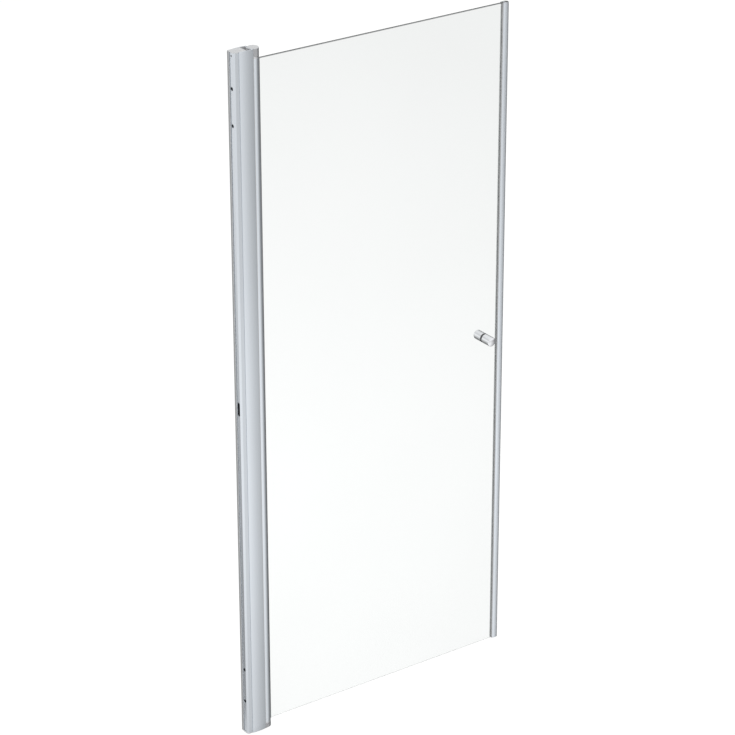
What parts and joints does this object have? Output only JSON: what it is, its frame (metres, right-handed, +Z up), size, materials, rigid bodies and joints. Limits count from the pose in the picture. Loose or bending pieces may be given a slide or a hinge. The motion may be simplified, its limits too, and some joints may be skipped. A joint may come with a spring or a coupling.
{
  "type": "shower door",
  "caption": "Hinged glass shower door with a wall channel, telescoping hinge post, full-height pivot profile, magnetic closing strip and round pull knobs.",
  "frame": {"origin": "foot of the door on the wall: the wall plane, the middle plane of the closed glass and the underside of the wall channel's lower cap meet there", "axes": "+Z up, +X from the wall to the closing edge, -Y to the room side that the door is seen from"},
  "size_m": [0.8845, 0.0764, 2],
  "materials": {
    "anodised": "satin silver anodised",
    "cast_silver": "satin silver cast",
    "grey_plastic": "light grey moulded",
    "bearing_plastic": "natural white",
    "steel": "bright",
    "lip_vinyl": "soft grey vinyl",
    "black_rubber": "matt",
    "nose_vinyl": "satin grey vinyl",
    "magnet": "matt dark",
    "chrome": "polished",
    "glass": "clear toughened"
  },
  "bodies": {
    "wall": {"wall_profile": "anodised", "wall_seal": "lip_vinyl", "wall_top_cap": "grey_plastic", "wall_bottom_cap": "grey_plastic"},
    "post": {"hinge_post": "anodised", "upper_bearing_block": "cast_silver", "lower_bearing_block": "cast_silver", "upper_bearing_bush": "bearing_plastic", "lower_bearing_bush": "bearing_plastic", "upper_bearing_cap": "grey_plastic", "bearing_block_screws": "steel", "adjusting_screws": "steel", "front_lip_seal": "lip_vinyl", "rear_lip_seal": "lip_vinyl"},
    "leaf": {"hinge_profile": "anodised", "upper_pivot_plate": "cast_silver", "lower_pivot_plate": "cast_silver", "upper_pivot_pin": "steel", "lower_pivot_pin": "steel", "pivot_plate_screws": "steel", "glass_pane": "glass", "hinge_gasket": "black_rubber", "closing_profile": "anodised", "front_closing_gasket": "lip_vinyl", "rear_closing_gasket": "lip_vinyl", "magnet_seal": "nose_vinyl", "magnet_bar": "magnet", "front_knob": "chrome", "rear_knob": "chrome", "knob_stud": "steel", "knob_bush": "bearing_plastic", "front_knob_washer": "black_rubber", "rear_knob_washer": "black_rubber"}
  },
  "joints": [
    {"name": "width_adjust", "type": "slide", "parent": "wall", "child": "post", "axis": [1, 0, 0], "range_m": [-0.008, 0.012]},
    {"name": "door_swing", "type": "hinge", "parent": "post", "child": "leaf", "pos_m": [0.068, 0, 0], "axis": [0, 0, -1], "range_deg": [-90, 90]}
  ]
}
